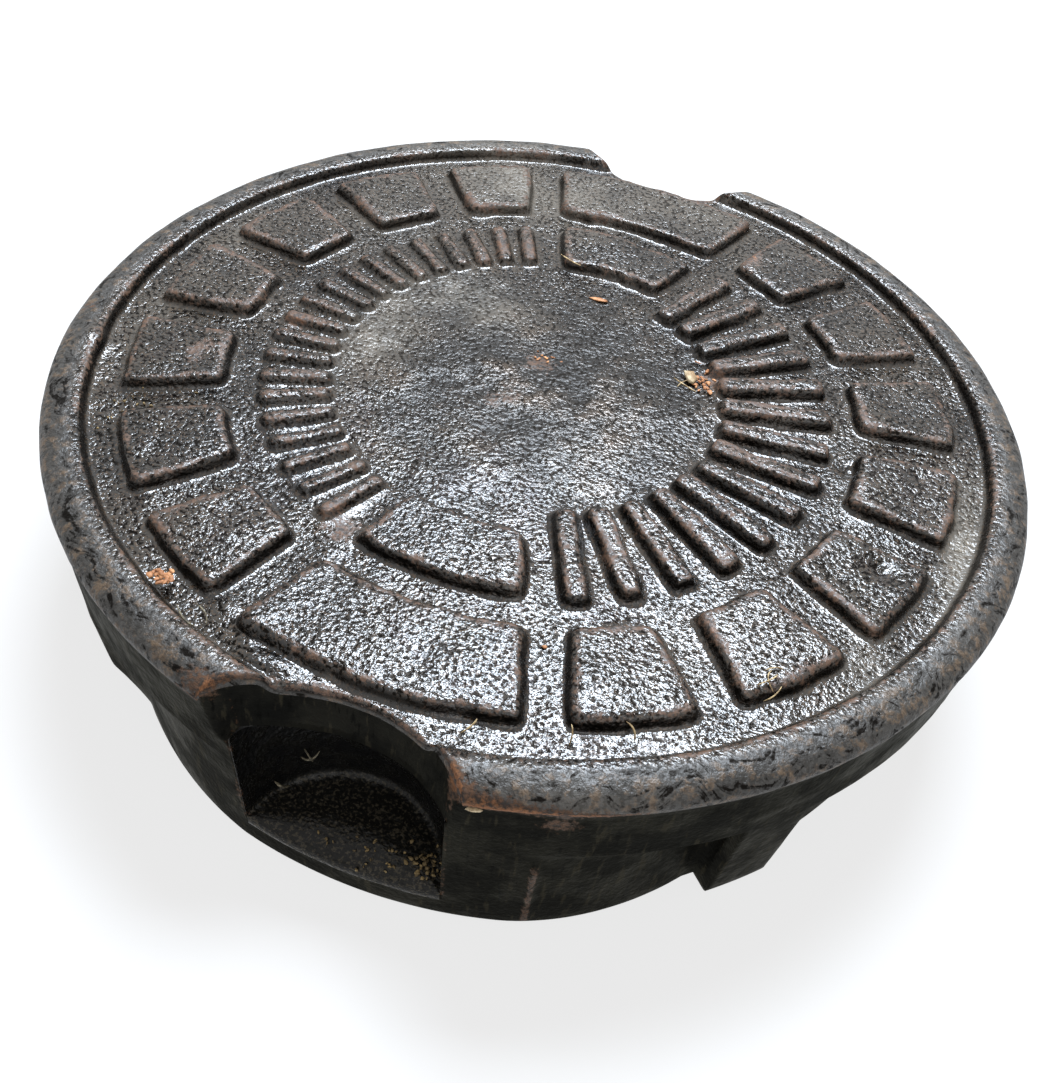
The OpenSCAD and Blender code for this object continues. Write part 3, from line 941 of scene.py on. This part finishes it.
def side_material():
    """Matte olive-black iron for the skirt and the underside, darker partly as painted shade."""
    material, g, shader, place = start_material("coated_iron_side")
    grain = g.use(GRAIN, {"Vector": place, "Size": 0.0013})
    drawn = g.add("Mapping", {"Vector": place, "Scale": (1.0, 1.0, 0.16)}).outputs[0]
    scratches, stains = g.noise(drawn, 650, 4.0, 0.6), g.noise(place, 70, 4.0, 0.65)
    # Dark base of stains: the unworn coat, and partly painted shade on the side.
    base = g.blend(g.mask(stains, 0.36, 0.66), colour(11, 11, 10), colour(24, 23, 19))
    base = g.blend(g.mask(scratches, 0.56, 0.68), base, colour(40, 37, 29))
    base = g.blend(g.mask(scratches, 0.42, 0.32), base, colour(4, 4, 3))
    rust, base = rusted(g, place, base, g.plus(g.number("rust_marks"), g.times(g.number("jamb"), 0.84)))
    g.put(base, shader["Base Color"])
    g.put(g.mask(stains, 0.4, 0.6, 0.6, 0.42), shader["Roughness"])
    g.put(g.mask(rust, 0.0, 1.0, 0.75, 0.1), shader["Metallic"])
    g.put(g.bump(g.plus(grain["Height"], g.times(scratches, 0.6)), 0.00022), shader["Normal"])
    shader["Specular IOR Level"].default_value = 0.2
    shader["Specular Tint"].default_value = (0.5, 0.5, 0.47, 1)
    return material


def pocket_material():
    """Wet black iron with brown grit for the inside of the pockets, the black partly painted shade in the
    recess.
    """
    material, g, shader, place = start_material("coated_iron_pocket")
    grain = g.use(GRAIN, {"Vector": place, "Size": 0.0011})
    # Black base with patches: partly wet iron, partly painted shade in the recess.
    base = g.blend(grain["Patches"], colour(8, 8, 8), colour(20, 19, 17))
    low = g.mask(g.add("SeparateXYZ", {0: place}).outputs[2], 0.012, 0.0098)
    base = g.blend(g.times(low, 0.45), base, colour(34, 33, 30))
    base = g.blend(g.times(grain["Specks"], low), base, colour(74, 68, 57))
    rust, base = rusted(g, place, base, g.times(g.number("jamb"), 0.84))
    g.put(base, shader["Base Color"])
    g.put(g.mask(grain["Patches"], 0.0, 1.0, 0.34, 0.2), shader["Roughness"])
    g.put(g.bump(grain["Height"], 0.0003), shader["Normal"])
    shader["Specular IOR Level"].default_value = 0.3
    shader["Specular Tint"].default_value = (0.6, 0.6, 0.6, 1)
    return material


for material in (tread_material(), side_material(), pocket_material()):
    lid.data.materials.append(material)
lid.data.polygons.foreach_set("material_index", face_slot)
print("materials:", [m.name for m in lid.data.materials])

# %% [markdown]
# Litter from the yard lies on the lid: a wood chip, bits of dry leaf, straws, fibres in the front
# pocket and grit on its floor. A straw is a thin round profile carried along a bent path, and a
# chip or grain is a lumpy ball pressed flat. Each kind is one object of closed shells.

# %% Straws and fibres
def tube(path, radius, lines=6):
    """Shell along a path: at each point a circle in the plane across the path, narrowed at both ends."""
    along = np.gradient(path, axis=0)
    along /= np.linalg.norm(along, axis=1)[:, None]
    side = np.cross(along, [0.13, 0.21, 0.97])
    side /= np.linalg.norm(side, axis=1)[:, None]
    up = np.cross(along, side)
    angle = np.linspace(0, 2 * np.pi, lines, endpoint=False)
    from_start = np.linspace(0, 1, len(path))
    size = radius * np.minimum(1, 0.35 + 3 * np.minimum(from_start, 1 - from_start))
    circle = side[:, :, None] * np.cos(angle) - up[:, :, None] * np.sin(angle)
    return path[:, :, None] + size[:, None, None] * circle, path[0], path[-1]


def bent(start, end, sag, steps=9):
    """Path from start to end, pushed aside by sag times 4 t (1 - t)."""
    t = np.linspace(0, 1, steps)[:, None]
    return start * (1 - t) + end * t + sag * 4 * t * (1 - t)


def make_tubes(name, table):
    """One piece of tubes. A row holds the start, the end and the sag as x, y, z, and then the radius."""
    table = np.array(table)
    return make_piece(name, [tube(bent(row[0:3], row[3:6], row[6:9]), row[9]) for row in table])


straws = make_tubes("straws", [[66.8, -68.2, 54.5, 70.2, -64.0, 54.7, 0.9, 0.2, 0.5, 0.16],
                               [70.4, -68.0, 54.2, 69.0, -63.6, 54.8, -1.0, 0.1, 0.4, 0.15],
                               [69.2, -69.6, 52.6, 71.6, -66.2, 54.4, 0.4, -0.6, 0.4, 0.15],
                               [67.6, -64.2, 54.7, 71.0, -62.4, 54.7, 0.2, 0.6, 0.2, 0.14],
                               [46.7, -86.2, 54.4, 49.2, -88.3, 51.8, 0.6, 0.3, 0.5, 0.2],
                               [37.6, -90.5, 53.8, 38.5, -93.4, 51.4, 0.3, 0.1, 0.5, 0.17],
                               [19.5, -99.0, 51.5, 21.4, -96.2, 53.4, 0.5, 0.2, 0.2, 0.2],
                               [-14.5, 50.4, 54.2, -8.2, 48.6, 53.8, 0.2, -0.8, 0.3, 0.2],
                               [27.0, 17.6, 51.5, 33.4, 14.8, 51.6, 0.3, -0.7, 0.3, 0.18],
                               [28.6, 14.6, 51.4, 31.8, 18.8, 51.8, -0.5, 0.2, 0.3, 0.16]])
fibres = make_tubes("fibres", [[-21.6, -101.0, 17.4, -20.2, -99.6, 12.4, 0.9, -1.4, 0.6, 0.3],
                               [-19.4, -101.6, 13.6, -17.0, -99.8, 10.7, 0.8, -1.2, 0.9, 0.32],
                               [-15.6, -96.8, 18.4, -11.6, -95.8, 21.4, 0.4, -0.7, -0.9, 0.26],
                               [-13.0, -96.4, 17.6, -14.8, -96.4, 21.2, 0.7, -0.6, 0.2, 0.2],
                               [-40.5, -95.8, 53.6, -35.4, -98.2, 52.6, 0.3, -1.1, 0.4, 0.22],
                               [-37.6, -94.2, 53.8, -33.8, -97.0, 52.2, 0.8, 0.5, 0.3, 0.18]])
print("straws: %d faces, fibres: %d faces" % (len(straws.data.polygons), len(fibres.data.polygons)))

# %% Chips, flakes and grit
def pebble(place, size, turn, lines=8, count=3):
    """Lumpy ball: a radius of 1 plus a few low waves, pressed to three half sizes, then turned."""
    down = np.linspace(0, np.pi, count + 2)[1:-1, None]
    around = np.linspace(0, 2 * np.pi, lines, endpoint=False)
    shift = random.uniform(0, 6.28, 3)
    lump = 1 + 0.2 * np.sin(2 * around + shift[0]) * np.sin(down) + 0.12 * np.sin(3 * around + shift[1] + down)
    x, y = size[0] * lump * np.sin(down) * np.cos(around), size[1] * lump * np.sin(down) * np.sin(around)
    z = size[2] * (np.cos(down) + 0.25 * np.sin(2 * around + shift[2]))
    c, s = np.cos(turn), np.sin(turn)
    place = np.array(place)
    up = np.array([0, 0, size[2]])
    return np.stack([c * x - s * y, s * x + c * y, z], axis=1) + place[:, None], place + up, place - up


def scatter(centre, spread, amount, low_size, high_size, flat):
    """Pebbles of random sizes round a centre, lying on its height."""
    places = np.array(centre) + random.normal(size=(amount, 3)) * np.array(spread)
    sizes = random.uniform(low_size, high_size, (amount, 3)) * np.array([1, 0.7, flat])
    return [pebble(*row, count=4) for row in zip(places, sizes, random.uniform(0, 3.1, amount))]


chip = make_piece("wood_chip", [pebble((30.6, 19.4, 51.9), (2.9, 1.5, 0.8), 1.9, 7),
                                pebble((27.2, -110.8, 48.5), (1.9, 0.5, 0.5), 0.25, 7)])
leaves = make_piece("leaf_bits", [pebble((0.3, 39.7, 51.4), (2.3, 0.9, 0.3), 0.1),
                                  pebble((26.6, -74.1, 51.5), (0.6, 0.45, 0.3), 0.4)]
                    + scatter((-47.3, -91.0, 53.9), (1.5, 0.8, 0.15), 26, 0.4, 1.0, 0.3)
                    + scatter((34.6, 18.6, 51.4), (1.7, 2.6, 0.2), 22, 0.3, 1.0, 0.35)
                    + scatter((-3.9, 10.8, 51.2), (2.2, 1.3, 0.1), 12, 0.2, 0.6, 0.4))
grit = make_piece("grit", scatter((17.5, -105.0, 10.3), (2.2, 1.8, 0.15), 40, 0.25, 0.7, 0.8)
                  + scatter((6.0, -107.0, 10.2), (6.0, 2.0, 0.1), 30, 0.2, 0.5, 0.8)
                  + scatter((-80, -52, 51.3), (6, 6, 0.1), 20, 0.2, 0.5, 0.8))
print("chip, leaf bits and grit:", [len(o.data.polygons) for o in (chip, leaves, grit)])

# %% Finishes of the litter
def litter_material(name, dark_tone, light_tone, per_metre, roughness):
    """Dry plant or stone: two tones mixed by fine noise."""
    material, g, shader, place = start_material(name)
    fine = g.noise(place, per_metre, 3.0, 0.6)
    g.put(g.blend(g.mask(fine, 0.35, 0.65), dark_tone, light_tone), shader["Base Color"])
    g.put(g.bump(fine, 0.0002, 0.8), shader["Normal"])
    shader["Roughness"].default_value = roughness
    return material


for piece, finish in ((straws, ("dry_straw", colour(120, 96, 62), colour(206, 180, 134), 900, 0.6)),
                      (fibres, ("grey_fibre", colour(70, 64, 50), colour(132, 122, 100), 900, 0.7)),
                      (chip, ("bare_wood", colour(146, 118, 84), colour(216, 196, 160), 500, 0.7)),
                      (leaves, ("dry_leaf", colour(150, 98, 60), colour(218, 158, 108), 300, 0.65)),
                      (grit, ("sand_grit", colour(84, 70, 46), colour(164, 140, 96), 600, 0.7))):
    piece.data.materials.append(litter_material(*finish))
print("finishes:", [o.data.materials[0].name for o in (straws, fibres, chip, leaves, grit)])

# %% [markdown]
# The stage is a wide pale floor. It shows as white to the camera and to reflections through the
# Light Path node. Near the lid a quarter of it stays plain floor, so that the lid's shadow shows,
# and further out it fades to pure white, so that no horizon is seen.

# %% Floor and surroundings
FLOOR_HALF, NEAR, FAR = 4, 0.25, 0.8


def shown_rays(g):
    """1 for camera, glossy and transmission rays, 0 for the diffuse rays that light the object."""
    path = g.add("LightPath").outputs
    return g.math("MAXIMUM", path["Is Camera Ray"], path["Is Glossy Ray"], path["Is Transmission Ray"])


def make_floor():
    """A pale square under the lid."""
    mesh = bpy.data.meshes.new("floor")
    corners = [(x * FLOOR_HALF, y * FLOOR_HALF, 0) for x, y in ((-1, -1), (1, -1), (1, 1), (-1, 1))]
    mesh.from_pydata(corners, [], [(0, 1, 2, 3)])
    floor = bpy.data.objects.new("floor", mesh)
    bpy.context.scene.collection.objects.link(floor)
    material, g, shader, place = start_material("pale_floor")
    shader["Base Color"].default_value = (0.86, 0.86, 0.86, 1)
    shader["Roughness"].default_value = 0.9
    white = g.add("Emission", {"Color": (1, 1, 1, 1), "Strength": 1.0})
    distance = g.add("VectorMath", {0: place}, operation="LENGTH").outputs["Value"]
    share = g.times(shown_rays(g), g.mask(distance, NEAR, FAR, 0.75, 1.0))
    plain = g.tree.nodes["Principled BSDF"].outputs[0]
    mix = g.add("MixShader", {0: share, 1: plain, 2: white.outputs[0]})
    g.put(mix.outputs[0], g.tree.nodes["Material Output"].inputs["Surface"])
    mesh.materials.append(material)


def make_world():
    """White to the camera and to reflections, softer grey as the light of the room."""
    world = bpy.data.worlds.new("studio")
    bpy.context.scene.world = world
    world.use_nodes = True
    g = Graph(world.node_tree)
    g.put(g.blend(shown_rays(g), (0.3, 0.3, 0.3, 1), (1, 1, 1, 1)), g.tree.nodes["Background"].inputs["Color"])


make_floor()
make_world()
print("floor %d m wide, white beyond %.1f m" % (2 * FLOOR_HALF, FAR))

# %% [markdown]
# Three soft lamps. The tread shows its grain by reflecting a large window above and behind the
# lid, so the main lamp hangs where the front of the tread mirrors it. A wide and very weak one,
# lower, stands for the sky beyond the window, and the third fills the front.

# %% Lamps
def soft_lamp(name, azimuth, elevation, distance, size, power, tint=(1, 1, 1)):
    """A rectangular lamp that looks at the lid from a direction given in degrees."""
    a, e = rad(azimuth), rad(elevation)
    towards = Vector((np.cos(a) * np.cos(e), np.sin(a) * np.cos(e), np.sin(e)))
    data = bpy.data.lights.new(name, "AREA")
    data.shape, data.size, data.size_y, data.energy, data.color = "RECTANGLE", size[0], size[1], power, tint
    lamp = bpy.data.objects.new(name, data)
    turn = towards.to_track_quat("Z", "Y").to_matrix().to_4x4()
    lamp.matrix_world = Matrix.Translation(towards * distance) @ turn
    bpy.context.scene.collection.objects.link(lamp)


soft_lamp("window", 97, 66, 1.0, (0.46, 0.34), 21.0, (0.8, 0.89, 1.0))
soft_lamp("sky", 105, 32, 1.8, (1.2, 0.3), 0.8, (0.9, 0.95, 1.0))
soft_lamp("fill", -60, 35, 1.2, (0.8, 0.6), 2.0)
print("lamps: %.1f W in all" % sum(lamp.energy for lamp in bpy.data.lights))

# %% [markdown]
# The last line sets the scene's view transform to Standard.

# %% Finish
bpy.context.scene.view_settings.view_transform = "Standard"
